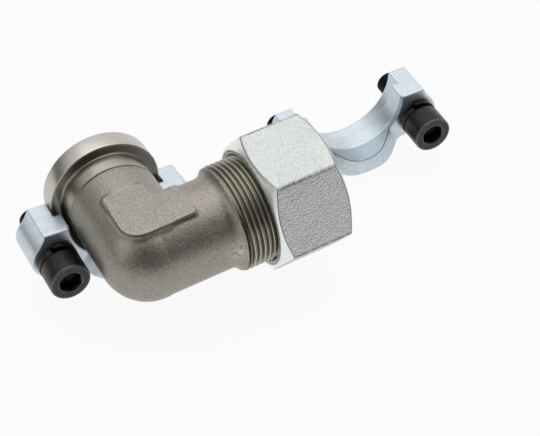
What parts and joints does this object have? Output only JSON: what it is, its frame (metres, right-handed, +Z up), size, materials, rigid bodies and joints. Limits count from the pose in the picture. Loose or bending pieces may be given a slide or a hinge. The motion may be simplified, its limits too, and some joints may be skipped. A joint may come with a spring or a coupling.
{
  "type": "hydraulic flange elbow",
  "caption": "Forged right-angle hydraulic elbow from a split-flange port to a tube union, with its union nut, cutting ring, split flange halves, cap screws and lock washers.",
  "frame": {"origin": "centre of the flange's sealing face", "axes": "+Y out of the flange face along the port's axis, +Z up, +X the way the tube leg leaves, which rises 3.75 degrees"},
  "size_m": [0.1835, 0.0866, 0.0597],
  "materials": {
    "forged_steel": "phosphated forging with turned bands",
    "turned_steel": "turned and phosphated",
    "zinc_plate": "zinc plated, bluish satin",
    "black_oxide": "black oxide, oiled",
    "seal_rubber": "moulded"
  },
  "bodies": {
    "fitting": {"elbow_body": "forged_steel", "face_o_ring": "seal_rubber", "cradle_flange_half": "zinc_plate", "loose_flange_half": "zinc_plate", "cradle_screw_left": "black_oxide", "cradle_washer_left": "black_oxide", "loose_screw_left": "black_oxide", "loose_washer_left": "black_oxide", "loose_screw_right": "black_oxide", "loose_washer_right": "black_oxide"},
    "ring": {"cutting_ring": "turned_steel"},
    "nut": {"union_nut": "zinc_plate"}
  },
  "joints": [
    {"name": "ring_travel", "type": "slide", "parent": "fitting", "child": "ring", "axis": [0.9979, 0, 0.0654], "range_m": [-0.00405, 0.00205]},
    {"name": "nut_turn", "type": "hinge", "parent": "ring", "child": "nut", "pos_m": [0.05788, -0.0446, 0.00379], "axis": [0.9979, 0, 0.0654], "range_deg": [-720, 360]}
  ],
  "couplings": [
    {"joint": "ring_travel", "follows": "nut_turn", "m_per_rad": 0.00031831}
  ]
}
